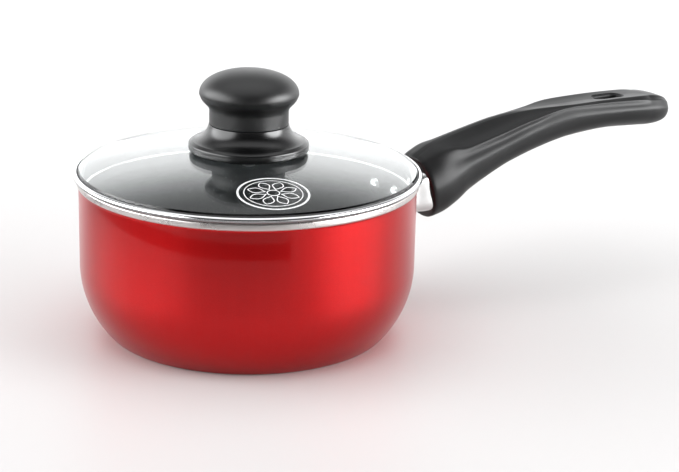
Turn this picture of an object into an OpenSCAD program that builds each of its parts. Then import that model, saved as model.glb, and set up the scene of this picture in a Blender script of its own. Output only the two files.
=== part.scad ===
// Saucepan with a glass lid.
// Frame: origin at the centre of the pan's base, +Z up, handle along +X.
// All sizes are in millimetres.

/* [Pan] */
// Outer radius of the upright wall
pan_r = 80.5; // [77:0.5:84]
// Height of the rim above the base
pan_h = 76.3; // [73:0.1:90]
// Thickness of the wall
wall_t = 1.5; // [1.2:0.1:2.0]
// Thickness of the floor
floor_t = 2.6; // [2:0.1:4]
// Radius of the bowl curve, seen from the side
bowl_r = 48; // [44:0.5:52]
// Angle that the bowl curve turns through before the base edge
bowl_turn = 43.5; // [38:0.5:47]
// Radius of the small curve at the edge of the flat base
base_round = 3; // [2:0.1:5]
// How far the bare lip stands out from the wall
lip_out = 0.8; // [0.4:0.1:1.5]
// Height of the bare lip
lip_h = 3.3; // [2:0.1:5]

/* [Lid] */
// Thickness of the glass
glass_t = 3; // [3:0.5:4]
// Height of the dome's top above the seat that the glass rests on
dome_h = 11.8; // [9:0.2:16]
// How far the steel rim band stands out beyond the pan's wall
band_out = 2.5; // [2:0.1:3.5]
// Thickness of the band's sheet
band_t = 0.6; // [0.4:0.1:0.8]
// How deep the band's skirt reaches into the pan, below the rim
skirt_depth = 8.8; // [5:0.2:12]
// Free gap between the lid and the pan
lid_gap = 0.3; // [0.3:0.05:0.5]

/* [Knob] */
// Largest radius of the knob's cap
cap_r = 23.6; // [20:0.1:26]
// Radius of the neck
neck_r = 18.8; // [16:0.1:20]
// Radius of the flange on the knob's base
flange_r = 28.6; // [26:0.1:30]
// Height of the knob above the glass
knob_h = 38.3; // [34:0.1:44]

/* [Handle] */
// Height of the handle's fixing above the base
fixing_h = 57.5; // [56:0.5:58]
// Distance between the two rivets
rivet_pitch = 18; // [16:0.5:18]
// Radius of a rivet's shank
rivet_r = 2.5; // [2:0.1:2.6]
// Width of the flame guard
guard_w = 26.6; // [26:0.1:28]
// Height of the flame guard
guard_h = 22; // [20:0.5:23]
// Length of the hanging slot
slot_l = 18; // [14:0.5:20]
// Width of the hanging slot
slot_w = 8.4; // [6:0.2:9]
// Place of the hanging slot's middle, from the pan's axis
slot_x = 221.5; // [215:0.5:226]

/* [Hidden] */
$fn = 96;

// Pan: the bowl curve ends on a small arc that runs into the flat base.
pan_inner_r = pan_r - wall_t;
bowl_c = pan_r - bowl_r;
edge_z = base_round * (1 - sin(bowl_turn));
edge_r = bowl_c + bowl_r * cos(bowl_turn);
bowl_h = edge_z + bowl_r * sin(bowl_turn);
base_r = edge_r - base_round * cos(bowl_turn);
lip_r = pan_r + lip_out;
lip_round = 0.8;

// Inside of the pan: a fillet joins the bowl curve and the floor.
inner_bowl_r = bowl_r - wall_t;
fillet_r = 12;
fillet_z = floor_t + fillet_r;
fillet_reach = inner_bowl_r - fillet_r;
fillet_x = bowl_c + sqrt(fillet_reach * fillet_reach - (bowl_h - fillet_z) * (bowl_h - fillet_z));
fillet_top = bowl_h - inner_bowl_r * (bowl_h - fillet_z) / fillet_reach;

// Lid: the dome is part of a sphere whose top is on the pan's axis. The glass has a bevelled edge, which the
// rolled bead of the band holds.
band_r = pan_r + band_out;
band_bottom = pan_h + lid_gap;
bead_r = 1.35;
band_top = band_bottom + 2 * bead_r;
bead_x = band_r - bead_r;
bead_z = band_bottom + bead_r;
skirt_r = pan_inner_r - lid_gap;
glass_r = bead_x - 0.35;
glass_seat_r = glass_r - 0.8;
glass_seat_z = band_bottom + band_t + 0.05;
edge_land = 0.5;
bevel_w = 1.3;
glass_top = glass_seat_z + dome_h;
glass_bottom = glass_top - glass_t;
dome_r = (glass_seat_r * glass_seat_r + dome_h * dome_h - glass_t * glass_t) / (2 * (dome_h - glass_t));
dome_z = glass_top - dome_r;
bevel_r = glass_r - bevel_w;
bevel_z = dome_z + sqrt(dome_r * dome_r - bevel_r * bevel_r);
glass_hole_r = 5;

// Knob, from the glass up. The base is hollow round its boss, and the cap's spigot sits in its top.
gasket_t = 0.9;
boss_r = 9;
boss_z = glass_top + gasket_t;
flange_z = glass_top - 0.5;
flange_top = flange_z + 5;
flange_wall = 3.4;
flange_ease = 1.2;
flare_r = 9.5;
joint_z = flange_z + 13;
joint_rise = 1.5;
spigot_r = 14;
spigot_l = 5;
undercut_r = 8.2;
undercut_rise = 5.2;
cap_edge_z = joint_z + 14.6;
cap_top = glass_top + knob_h;
cap_round = 5.4;
insert_r = 4;
insert_top = joint_z + 8;

// Screws, both M5, with their washers.
screw_r = 2.5;
screw_hole_r = 2.8;
washer_hole_r = 2.65;
nut_across_flats = 8;
nut_l = 4;
head_r = 4.7;
head_access_r = 5.6;
flat_washer_r = 5;
flat_washer_t = 0.98;
lock_washer_r = 4.4;
lock_washer_t = 1.28;
lock_washer_slit = 1;
touch = 0.02;

// Fixing of the handle, along +X from the pan's wall.
bracket_t = 1.5;
bracket_x = pan_r + 0.05;
front_x = 93;
front_t = 2;
nut_x = front_x - nut_l;
arm_in = 4.4;
arm_h = 14;
seat_x = 113;
guard_t = 0.9;
guard_round = 6;
rivet_head_r = 4.4;
rivet_head_h = 2.4;
rivet_tail_r = 2.9;

function blend(a, b, c, d, u) =
    0.5 * (2 * b + (c - a) * u + (2 * a - 5 * b + 4 * c - d) * u * u + (3 * b - 3 * c + d - a) * u * u * u);

// Handle stations, from the pan to the tip: top x, top z, bottom x, bottom z, half width.
grip = [
    [94.0, 73.8, 102.3, 41.0, 15.8],
    [103.8, 78.8, 110.5, 43.2, 15.8],
    [119, 83.0, 126.5, 52.1, 14.0],
    [140.5, 87.8, 147, 62.0, 12.4],
    [166, 91.0, 170, 69.4, 11.6],
    [190, 92.3, 191, 73.5, 11.8],
    [214, 92.4, 214, 75.2, 12.4],
    [236, 92.2, 236, 74.4, 12.8],
    [244, 91.9, 243, 73.9, 12.6],
];
grip_last = len(grip) - 1;
end_slope = (grip[0][2] - grip[0][0]) / (grip[0][1] - grip[0][3]);
end_tilt = atan(end_slope);
end_x = grip[0][0] + (grip[0][1] - fixing_h) * end_slope;
ring_points = 36;
grip_steps = 26;
tip_steps = 7;
tip_l = 18.3;
end_round = 1.2;

function clamp_row(i) = grip[min(max(i, 0), grip_last)];
function station(t) =
    let (i = min(floor(t), grip_last - 1), u = t - i)
    [for (k = [0:4])
        blend(clamp_row(i - 1)[k], clamp_row(i)[k], clamp_row(i + 1)[k], clamp_row(i + 2)[k], u)];

function bump(x, middle, width) = exp(-pow((x - middle) / width, 2));
function signed_pow(x, p) = sign(x) * pow(abs(x), p);

// Depth of the hollow on top of the handle, which holds the hanging slot.
function hollow_depth(x) = 1.0 * bump(x, 214, 30);

// One ring of the handle, in the plane through its top and bottom points.
// shrink scales it about its middle, and along moves it outwards along the handle.
function ring(s, shrink, along) =
    let (
        mx = (s[0] + s[2]) / 2,
        mz = (s[1] + s[3]) / 2,
        h = norm([s[0] - s[2], s[1] - s[3]]) / 2,
        ux = (s[0] - s[2]) / (2 * h),
        uz = (s[1] - s[3]) / (2 * h)
    )
    [for (k = [0:ring_points - 1])
        let (
            a = 360 * k / ring_points,
            upper = sin(a) >= 0,
            n = upper ? 2.0 : 2.5,
            y = s[4] * shrink * signed_pow(cos(a), 2 / n),
            across = y / (0.72 * s[4]),
            dip = upper && abs(across) < 1 ? hollow_depth(mx) * shrink * pow(1 - across * across, 2) : 0,
            v = h * shrink * signed_pow(sin(a), 2 / n) - dip
        )
        [mx + ux * v + uz * along, y, mz + uz * v - ux * along]
    ];

// Rings over the tip, which closes as a quarter of an ellipse.
function tip_ring(q) =
    let (s = grip[grip_last], a = 88 * q / tip_steps, drop = 2 * (1 - cos(a)))
    [for (p = ring(s, cos(a), tip_l * sin(a))) [p[0], p[1], p[2] - drop]];

grip_rings = concat(
    [ring(grip[0], 0.93, 0), ring(grip[0], 0.98, 0.35 * end_round), ring(grip[0], 1, end_round)],
    [for (k = [1:grip_steps]) ring(station(0.12 + (grip_last - 0.12) * k / grip_steps), 1, 0)],
    [for (q = [1:tip_steps]) tip_ring(q)]
);

// A closed skin over a list of rings that all have the same number of points.
module skin(rings) {
    n = len(rings[0]);
    last = len(rings) - 1;
    sides = [for (i = [0:last - 1]) for (k = [0:n - 1])
        let (m = (k + 1) % n)
        for (f = [[i * n + k, (i + 1) * n + k, (i + 1) * n + m], [i * n + k, (i + 1) * n + m, i * n + m]]) f];
    start_cap = [[for (k = [0:n - 1]) k]];
    end_cap = [[for (k = [n - 1:-1:0]) last * n + k]];
    polyhedron(points = [for (r = rings) for (p = r) p], faces = concat(start_cap, sides, end_cap));
}

// A rectangle in the profile plane, from two opposite corners.
module box2d(r0, z0, r1, z1) {
    translate([r0, z0]) square([r1 - r0, z1 - z0]);
}

// A round bar or hole along +X, at the height of the handle's fixing.
module bar_x(x0, x1, r) {
    translate([x0, 0, fixing_h]) rotate([0, 90, 0]) cylinder(r = r, h = x1 - x0);
}

// An outline run along +X, centred on the handle's fixing.
module along_x(x0, x1) {
    translate([x0, 0, fixing_h]) rotate([0, 90, 0]) linear_extrude(x1 - x0) children();
}

// A flat ring about the lid's axis.
module flat_ring(z0, z1, r0, r1) {
    rotate_extrude() box2d(r0, z0, r1, z1);
}

module rivet_hole() {
    bar_x(pan_r - 10, bracket_x + 4, rivet_r + 0.05);
}

module at_rivets() {
    for (side = [-1, 1]) translate([0, side * rivet_pitch / 2, 0]) children();
}

// ---------- pan ----------

module pan_outline() {
    box2d(0, bowl_h, pan_r, pan_h - lip_h);
    box2d(0, edge_z, edge_r, bowl_h + 1);
    intersection() {
        translate([bowl_c, bowl_h]) circle(bowl_r);
        box2d(bowl_c, edge_z, pan_r + 1, bowl_h + 0.01);
    }
    box2d(0, 0, base_r, edge_z + 1);
    intersection() {
        translate([base_r, base_round]) circle(base_round);
        box2d(base_r - 1, 0, edge_r + 1, edge_z);
    }
    // bare lip, turned out a little and rounded over
    box2d(pan_inner_r, pan_h - lip_h + lip_round, lip_r, pan_h - lip_round);
    box2d(pan_inner_r, pan_h - lip_h, lip_r - lip_round, pan_h);
    for (z = [pan_h - lip_h + lip_round, pan_h - lip_round])
        translate([lip_r - lip_round, z]) circle(lip_round);
}

module pan_inside() {
    box2d(-1, bowl_h, pan_inner_r, pan_h + 1);
    intersection() {
        translate([bowl_c, bowl_h]) circle(inner_bowl_r);
        box2d(bowl_c, fillet_top, pan_r, bowl_h + 0.01);
    }
    box2d(-1, fillet_top, bowl_c + 1, bowl_h + 1);
    box2d(-1, floor_t, fillet_x, fillet_top + 1);
    intersection() {
        translate([fillet_x, fillet_z]) circle(fillet_r);
        box2d(fillet_x - 1, floor_t, pan_r, fillet_top);
    }
}

module pan_body() {
    color("firebrick")
    difference() {
        rotate_extrude() difference() {
            pan_outline();
            pan_inside();
        }
        at_rivets() rivet_hole();
    }
}

// ---------- handle fixing ----------

// Sheet steel bracket: a saddle against the wall, two arms and a front plate.
module handle_bracket() {
    color("silver")
    difference() {
        union() {
            intersection() {
                difference() {
                    cylinder(r = bracket_x + bracket_t, h = pan_h);
                    translate([0, 0, -1]) cylinder(r = bracket_x, h = pan_h + 2);
                }
                along_x(70, 90) guard_outline(guard_t + 0.4);
            }
            for (y = [arm_in, -arm_in - bracket_t])
                translate([bracket_x + bracket_t / 2, y, fixing_h - arm_h / 2])
                    cube([front_x - bracket_x, bracket_t, arm_h]);
            translate([front_x, -arm_in - bracket_t, fixing_h - arm_h / 2])
                cube([front_t, 2 * (arm_in + bracket_t), arm_h]);
        }
        bar_x(front_x - 1, front_x + front_t + 1, screw_hole_r);
        at_rivets() rivet_hole();
    }
}

// Two solid rivets. Their domed heads sit on the pan's inner wall.
module bracket_rivets() {
    head_x = sqrt(pan_inner_r * pan_inner_r - rivet_pitch * rivet_pitch / 4) - rivet_head_h;
    dome = (rivet_head_r * rivet_head_r + rivet_head_h * rivet_head_h) / (2 * rivet_head_h);
    tail_x = bracket_x + bracket_t;
    color("gainsboro") {
        at_rivets() bar_x(head_x + 1, tail_x + 0.1, rivet_r);
        at_rivets() bar_x(tail_x, tail_x + 1.2, rivet_tail_r);
        intersection() {
            at_rivets() intersection() {
                translate([head_x + dome, 0, fixing_h]) sphere(r = dome);
                bar_x(head_x, head_x + 4, rivet_head_r);
            }
            cylinder(r = pan_inner_r - touch, h = pan_h);
        }
    }
}

module bracket_nut() {
    color("silver")
    difference() {
        translate([nut_x, 0, fixing_h]) rotate([0, 90, 0])
            cylinder(r = nut_across_flats / sqrt(3), h = nut_l - touch, $fn = 6);
        bar_x(nut_x - 1, front_x + 1, screw_r + touch);
    }
}

module guard_outline(inset) {
    w = guard_w / 2 - inset;
    h = guard_h / 2 - inset;
    r = guard_round - inset;
    square([2 * h, 2 * (w - r)], center = true);
    square([2 * (h - r), 2 * w], center = true);
    for (sy = [-1, 1]) for (sz = [-1, 1]) translate([sz * (h - r), sy * (w - r)]) circle(r);
}

// Bright sleeve between the pan and the handle's tilted end face, just clear of both.
module flame_guard() {
    color("lightgray")
    difference() {
        along_x(70, 110) difference() {
            guard_outline(0);
            guard_outline(guard_t);
        }
        cylinder(r = pan_r + 0.1, h = pan_h);
        translate([end_x - 0.1, 0, fixing_h]) rotate([0, -end_tilt, 0])
            translate([0, -guard_w, -2 * guard_h]) cube([60, 2 * guard_w, 4 * guard_h]);
    }
}

// ---------- handle ----------

module slot_cut() {
    half = (slot_l - slot_w) / 2;
    translate([slot_x, 0, 60]) linear_extrude(50) {
        square([2 * half, slot_w], center = true);
        for (side = [-1, 1]) translate([side * half, 0]) circle(slot_w / 2);
    }
}

module handle_grip() {
    color("#303032")
    difference() {
        skin(grip_rings);
        slot_cut();
        bar_x(80, seat_x + 1, screw_hole_r);
        bar_x(seat_x, 170, head_access_r);
    }
}

module handle_flat_washer() {
    color("silver")
    difference() {
        bar_x(seat_x + touch, seat_x + flat_washer_t, flat_washer_r);
        bar_x(seat_x - 1, seat_x + 2, washer_hole_r);
    }
}

// Split spring washer round the Z axis, standing on the origin.
module lock_washer() {
    color("silver")
    difference() {
        flat_ring(0, lock_washer_t, washer_hole_r, lock_washer_r);
        translate([0, -lock_washer_slit / 2, -1])
            cube([2 * lock_washer_r, lock_washer_slit, lock_washer_t + 2]);
    }
}

module handle_lock_washer() {
    translate([seat_x + flat_washer_t + touch, 0, fixing_h]) rotate([0, 90, 0]) lock_washer();
}

module handle_screw() {
    head_x = seat_x + flat_washer_t + lock_washer_t + 3 * touch;
    color("lightgray")
    translate([head_x, 0, fixing_h]) rotate([0, 90, 0]) pan_head_screw(head_x - nut_x + 1);
}

// Screw with its shank below the origin and a domed, cross-slotted head above it.
module pan_head_screw(shank) {
    rim_h = 1.6;
    dome = 6.3;
    dome_drop = 2.6;
    recess_l = 5.2;
    recess_w = 1.2;
    difference() {
        rotate_extrude() {
            box2d(0, -shank, screw_r, 1);
            box2d(0, 0, head_r, rim_h);
            intersection() {
                translate([0, -dome_drop]) circle(dome);
                box2d(0, rim_h - 0.1, head_r, 2 * rim_h + 2);
            }
        }
        for (turn = [0, 90]) rotate(turn) translate([-recess_l / 2, -recess_w / 2, rim_h])
            cube([recess_l, recess_w, 4 * rim_h]);
    }
}

// ---------- lid ----------

module lid_glass() {
    color("lightcyan", 0.35)
    rotate_extrude() intersection() {
        difference() {
            translate([0, dome_z]) circle(dome_r, $fn = 360);
            translate([0, dome_z]) circle(dome_r - glass_t, $fn = 360);
        }
        polygon([
            [glass_hole_r, glass_seat_z - 1], [glass_seat_r, glass_seat_z - 1], [glass_seat_r, glass_seat_z],
            [glass_r, bead_z - edge_land], [glass_r, bead_z + edge_land], [bevel_r, bevel_z],
            [bevel_r, glass_top + 1], [glass_hole_r, glass_top + 1],
        ]);
    }
}

// Folded sheet band: rolled bead that holds the glass and rests on the rim, and a skirt with a hem.
module lid_rim_band() {
    skirt_low = pan_h - skirt_depth;
    lip_in = 0.45;
    hem_in = 1.3;
    color("gainsboro")
    rotate_extrude() {
        box2d(bead_x - lip_in, band_top - band_t, bead_x, band_top);
        difference() {
            translate([bead_x, bead_z]) circle(bead_r);
            translate([bead_x, bead_z]) circle(bead_r - band_t);
            box2d(0, 0, bead_x, 2 * pan_h);
        }
        box2d(skirt_r - band_t, band_bottom, bead_x, band_bottom + band_t);
        box2d(skirt_r - band_t, skirt_low, skirt_r, band_bottom + band_t);
        box2d(skirt_r - hem_in, skirt_low, skirt_r, skirt_low + band_t);
    }
}

// Lower moulding of the knob: flared skirt on a flange, hollow underneath.
module knob_base() {
    shell = 3;
    seat_z = joint_z - spigot_l;
    color("#202022")
    rotate_extrude() difference() {
        union() {
            box2d(screw_hole_r, boss_z, boss_r, seat_z);
            box2d(screw_hole_r, seat_z - shell, boss_r + 1, seat_z);
            box2d(boss_r - 1, flange_z + shell, flange_r - flange_ease, flange_top);
            box2d(boss_r - 1, flange_z + 2 * shell, flange_r - flange_ease, joint_z);
            box2d(flange_r - flange_wall, flange_z, flange_r, flange_top - flange_ease);
        }
        translate([flange_r - 0.2, joint_z + joint_rise]) circle(flare_r);
        box2d(0, seat_z, spigot_r + 0.1, joint_z + 1);
    }
}

// Upper moulding of the knob: neck, undercut and domed cap. The crown is tangent to the cap's rounded edge.
module knob_cap() {
    edge_x = cap_r - cap_round;
    edge_drop = cap_top - cap_edge_z;
    crown_r = (edge_x * edge_x + edge_drop * edge_drop - cap_round * cap_round)
        / (2 * (edge_drop - cap_round));
    crown_edge = edge_x * crown_r / (crown_r - cap_round);
    under_x = cap_r - 0.6;
    color("#1b1b1d")
    rotate_extrude() difference() {
        union() {
            box2d(0, joint_z + touch, neck_r, joint_z + undercut_r);
            box2d(0, joint_z - spigot_l + touch, spigot_r, joint_z + 1);
            difference() {
                box2d(0, joint_z + undercut_rise, under_x, cap_edge_z - 0.5);
                translate([neck_r + undercut_r, joint_z + undercut_rise]) circle(undercut_r);
            }
            intersection() {
                translate([0, cap_top - crown_r]) circle(crown_r, $fn = 360);
                union() {
                    box2d(0, joint_z + 10, crown_edge, cap_top + 1);
                    translate([edge_x, cap_edge_z]) circle(cap_round);
                }
                box2d(0, cap_edge_z - 1.4, cap_r + 1, cap_top + 1);
            }
        }
        box2d(-1, joint_z - spigot_l, insert_r, insert_top + 0.5);
    }
}

module knob_insert() {
    color("goldenrod") flat_ring(joint_z - spigot_l + 0.1, insert_top, screw_r + touch, insert_r - touch);
}

module knob_gasket() {
    color("dimgray") flat_ring(glass_top + touch, boss_z - touch, screw_hole_r, boss_r - 0.4);
}

module glass_bush() {
    color("dimgray") flat_ring(glass_bottom + 0.1, glass_top - 0.1, screw_hole_r, glass_hole_r - touch);
}

// Fixing under the glass, from the top down: seal, cup washer, lock washer and screw head.
seal_top = glass_bottom - 0.15;
seal_t = 1.35;
cup_top = seal_top - seal_t - touch;
cup_t = 0.8;
cup_r = 10;
cup_wall = 0.95;
lock_top = cup_top - cup_t - touch;
screw_top = lock_top - lock_washer_t - touch;

module lid_seal_washer() {
    color("dimgray") flat_ring(seal_top - seal_t, seal_top, screw_hole_r, boss_r - 0.4);
}

// Shallow steel cup that spreads the screw's pull over the glass.
module knob_cup_washer() {
    color("silver")
    rotate_extrude() {
        box2d(washer_hole_r, cup_top - cup_t, cup_r, cup_top);
        box2d(cup_r - cup_t, cup_top - cup_t, cup_r, cup_top + cup_wall);
    }
}

module knob_lock_washer() {
    translate([0, 0, lock_top - lock_washer_t]) lock_washer();
}

module knob_screw() {
    color("lightgray")
    translate([0, 0, screw_top]) rotate([180, 0, 0]) pan_head_screw(insert_top - 0.5 - screw_top);
}

pan_body();
handle_bracket();
bracket_rivets();
bracket_nut();
flame_guard();
handle_grip();
handle_screw();
handle_lock_washer();
handle_flat_washer();
lid_glass();
lid_rim_band();
knob_base();
knob_cap();
knob_insert();
knob_gasket();
glass_bush();
lid_seal_washer();
knob_cup_washer();
knob_lock_washer();
knob_screw();
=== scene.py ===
"""Saucepan with a glass lid: its looks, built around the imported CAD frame.

Sizes in this script are millimetres, in the frame's own axes: +Z up along the pan's axis and +X along
the handle. Every object is made in metres, and so are the lengths in the materials. An outline is a list of
(radius, height) points.
"""
import math

import bmesh
import bpy
import numpy as np
from mathutils import Matrix, Vector


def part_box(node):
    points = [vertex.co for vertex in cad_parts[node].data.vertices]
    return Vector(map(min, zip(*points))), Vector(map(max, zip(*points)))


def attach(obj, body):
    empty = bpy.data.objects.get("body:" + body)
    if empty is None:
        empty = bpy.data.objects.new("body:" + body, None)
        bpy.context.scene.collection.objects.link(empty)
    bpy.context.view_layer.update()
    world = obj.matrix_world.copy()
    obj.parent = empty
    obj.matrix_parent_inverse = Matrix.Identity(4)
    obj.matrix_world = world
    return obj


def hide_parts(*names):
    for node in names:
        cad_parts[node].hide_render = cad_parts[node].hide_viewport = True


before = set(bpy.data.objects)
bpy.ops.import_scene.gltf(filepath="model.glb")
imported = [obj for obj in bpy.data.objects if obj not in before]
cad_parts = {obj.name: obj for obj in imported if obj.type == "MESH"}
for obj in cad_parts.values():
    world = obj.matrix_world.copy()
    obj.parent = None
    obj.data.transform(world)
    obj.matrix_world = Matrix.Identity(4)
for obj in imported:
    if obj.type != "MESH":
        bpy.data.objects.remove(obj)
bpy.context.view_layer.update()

MM = 0.001
TURNS = 224      # faces round a turned piece


def node_box(name):
    """Lowest and highest corner of a CAD node, in millimetres."""
    low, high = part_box(name)
    return low / MM, high / MM


# ---------- sizes, from the frame ----------

PAN_HIGH = node_box("pan_body")[1]
BAND_LOW, BAND_HIGH = node_box("lid_rim_band")
GLASS_LOW, GLASS_HIGH = node_box("lid_glass")
BASE_LOW, BASE_HIGH = node_box("knob_base")
CAP_HIGH = node_box("knob_cap")[1]
GUARD_LOW, GUARD_HIGH = node_box("flame_guard")

LIP_OUT = 0.8             # how far the pan's lip stands out from its wall
LIP_H = 3.3
RIM_Z = PAN_HIGH.z
WALL_R = PAN_HIGH.y - LIP_OUT
WALL_T = 1.5
FLOOR_T = 2.6
BAND_Z = RIM_Z + 0.3      # underside of the lid's bead
BEAD_R = (BAND_HIGH.z - BAND_Z) / 2
BEAD_X = BAND_HIGH.y - BEAD_R
GLASS_T = 3.0
GLASS_R = GLASS_HIGH.y
GLASS_TOP = GLASS_HIGH.z
SEAT_R = GLASS_R - 0.8    # where the glass rests on the band
DOME_H = GLASS_TOP - GLASS_LOW.z
DOME_R = (SEAT_R ** 2 + DOME_H ** 2 - GLASS_T ** 2) / (2 * (DOME_H - GLASS_T))
DOME_Z = GLASS_TOP - DOME_R
FIXING_Z = (GUARD_LOW.z + GUARD_HIGH.z) / 2


# ---------- outlines ----------

def arc(centre, radius, start, end, steps=12):
    """Points along an arc between two angles in degrees."""
    angles = np.radians(np.linspace(start, end, steps + 1))
    return [(centre[0] + radius * math.cos(a), centre[1] + radius * math.sin(a)) for a in angles]


def rounded(corners, steps=6):
    """A closed outline through corners (x, y, radius), each rounded by its radius."""
    out = []
    count = len(corners)
    for i, (x, y, radius) in enumerate(corners):
        here = np.array((x, y), float)
        back = np.array(corners[i - 1][:2]) - here
        ahead = np.array(corners[(i + 1) % count][:2]) - here
        reach = 0.49 * min(np.linalg.norm(back), np.linalg.norm(ahead))
        back /= np.linalg.norm(back)
        ahead /= np.linalg.norm(ahead)
        half = math.acos(float(np.clip(back @ ahead, -1, 1))) / 2
        if radius <= 0 or half > math.radians(88):
            out.append((x, y))
            continue
        cut = min(radius / math.tan(half), reach)
        middle = here + (back + ahead) / np.linalg.norm(back + ahead) * cut / math.cos(half)
        first = here + back * cut - middle
        last = here + ahead * cut - middle
        sweep = math.pi - 2 * half
        for k in range(steps + 1):
            t = k / steps
            p = middle + (math.sin((1 - t) * sweep) * first + math.sin(t * sweep) * last) / math.sin(sweep)
            out.append((float(p[0]), float(p[1])))
    return out


def sheet_outline(line, thickness, cap_steps=6):
    """A closed outline of a bent sheet from its middle line, with rounded ends."""
    line = np.array(line, float)
    run = np.gradient(line, axis=0)
    run /= np.linalg.norm(run, axis=1)[:, None]
    side = np.stack([-run[:, 1], run[:, 0]], 1) * thickness / 2
    points = [tuple(p) for p in line + side]
    for end, sign in ((-1, 1), (0, -1)):
        a0 = math.degrees(math.atan2(side[end][1] * sign, side[end][0] * sign))
        points += arc(line[end], thickness / 2, a0, a0 - 180, cap_steps)[1:-1]
        if end == -1:
            points += [tuple(p) for p in (line - side)[::-1]]
    return points


def through(rows, count):
    """A smooth curve through rows of numbers, as count rows (Catmull-Rom)."""
    rows = np.array(rows, float)
    last = len(rows) - 1
    out = []
    for s in np.linspace(0, last, count):
        i = min(int(s), last - 1)
        u = s - i
        a, b, c, d = (rows[min(max(k, 0), last)] for k in (i - 1, i, i + 1, i + 2))
        out.append(0.5 * (2 * b + (c - a) * u + (2 * a - 5 * b + 4 * c - d) * u ** 2
                          + (3 * b - 3 * c + d - a) * u ** 3))
    return np.array(out)


# ---------- meshes ----------

def mesh_object(name, points, faces, slots=None, sharp=40):
    """An object from points in millimetres, smooth but for edges sharper than so many degrees."""
    mesh = bpy.data.meshes.new(name)
    mesh.from_pydata([tuple(float(c) * MM for c in p) for p in points], [], faces)
    mesh.validate()
    mesh.polygons.foreach_set("use_smooth", [True] * len(mesh.polygons))
    mesh.set_sharp_from_angle(angle=math.radians(sharp))
    if slots is not None:
        mesh.polygons.foreach_set("material_index", slots)
    mesh.update()
    piece = bpy.data.objects.new(name, mesh)
    bpy.context.scene.collection.objects.link(piece)
    return piece


def lathe(name, outlines, paint=None, turns=TURNS):
    """Turns outlines round the Z axis. Each runs so that the solid lies on its left; one that starts or ends
    on the axis is open, and any other closes on itself. paint(r, z, k) picks a face's material."""
    points, faces, slots = [], [], []
    angles = np.linspace(0, 2 * math.pi, turns, endpoint=False)
    around = np.stack([np.cos(angles), np.sin(angles)], 1)
    for outline in outlines:
        rings = []
        for r, z in outline:
            if abs(r) < 1e-6:
                rings.append([len(points)])
                points.append((0, 0, z))
            else:
                rings.append(list(range(len(points), len(points) + turns)))
                points += [(r * c, r * s, z) for c, s in around]
        on_axis = len(rings[0]) == 1 or len(rings[-1]) == 1
        spans = len(rings) - 1 if on_axis else len(rings)
        for k in range(spans):
            a, b = rings[k], rings[(k + 1) % len(rings)]
            ra, za = outline[k]
            rb, zb = outline[(k + 1) % len(rings)]
            slot = paint((ra + rb) / 2, (za + zb) / 2, k) if paint else 0
            for i in range(turns):
                j = (i + 1) % turns
                corners = [a[i % len(a)], a[j % len(a)], b[j % len(b)], b[i % len(b)]]
                face = list(dict.fromkeys(corners))
                if len(face) > 2:
                    faces.append(face)
                    slots.append(slot)
    return mesh_object(name, points, faces, slots)


def loft(name, rings, closed=True, sharp=40):
    """A skin over rings that all have the same number of points, its ends closed by fans or left open."""
    rings = [np.asarray(r, float) for r in rings]
    n = len(rings[0])
    points = [p for r in rings for p in r]
    faces = []
    for i in range(len(rings) - 1):
        for k in range(n):
            m = (k + 1) % n
            faces.append([i * n + k, (i + 1) * n + k, (i + 1) * n + m, i * n + m])
    for near, ring in ((True, rings[0]), (False, rings[-1])) if closed else ():
        start = 0 if near else (len(rings) - 1) * n
        hub = len(points)
        points.append(ring.mean(0))
        for k in range(n):
            m = (k + 1) % n
            faces.append([hub, start + k, start + m] if near else [hub, start + m, start + k])
    return mesh_object(name, points, faces, sharp=sharp)


# ---------- materials ----------

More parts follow.
